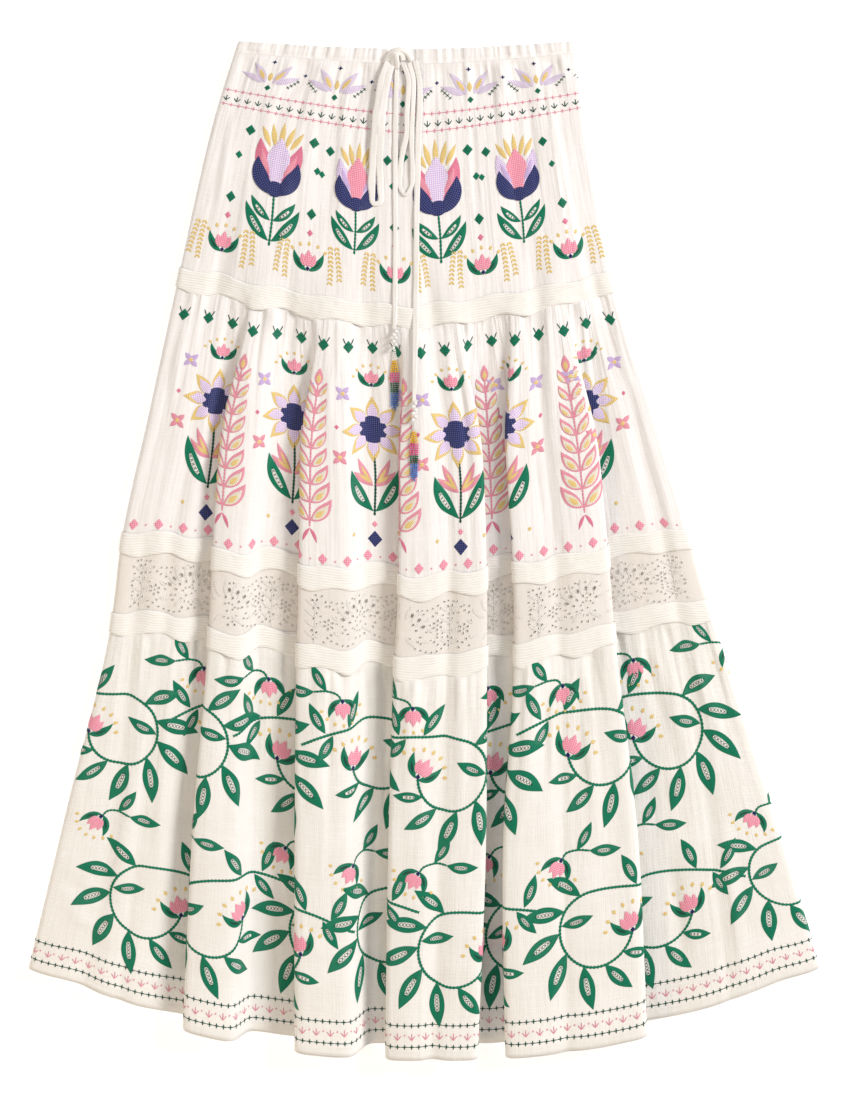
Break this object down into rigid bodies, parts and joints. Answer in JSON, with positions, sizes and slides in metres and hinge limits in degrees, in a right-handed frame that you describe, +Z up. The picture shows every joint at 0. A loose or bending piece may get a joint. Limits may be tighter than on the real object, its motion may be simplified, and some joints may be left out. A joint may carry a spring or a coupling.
{
  "type": "maxi skirt laid flat",
  "caption": "Tiered white cotton maxi skirt laid flat, with embroidered tiers, an eyelet lace insert, scalloped trim bands and a tasselled drawstring.",
  "frame": {"origin": "on the surface that the skirt lies on, under the middle of its box", "axes": "+Z up from the surface, +Y from hem to waist, +X to the right as seen from above"},
  "size_m": [0.7912, 1.014, 0.0306],
  "materials": {
    "cotton": "thin slub cotton, soft white",
    "trim": "cream tape with rows of stitching",
    "lace": "broderie anglaise, cream",
    "cord": "soft flat cotton tie",
    "thread": "satin embroidery thread in several colours",
    "beads": "small glossy seed beads in several colours"
  },
  "bodies": {
    "root": {"waist_casing_front": "cotton", "waist_casing_back": "cotton", "yoke_front": "cotton", "yoke_back": "cotton", "band_1_front": "trim", "band_1_back": "trim", "tier_2_front": "cotton", "tier_2_back": "cotton", "band_2_front": "trim", "band_2_back": "trim", "lace_front": "lace", "lace_back": "lace", "band_3_front": "trim", "band_3_back": "trim", "tier_3_front": "cotton", "tier_3_back": "cotton", "drawstring_knot": "cord", "drawstring_loop_left": "cord", "drawstring_loop_right": "cord", "drawstring_tail_left": "cord", "drawstring_tail_right": "cord", "tassel_left": "beads", "tassel_right": "beads"}
  },
  "joints": []
}
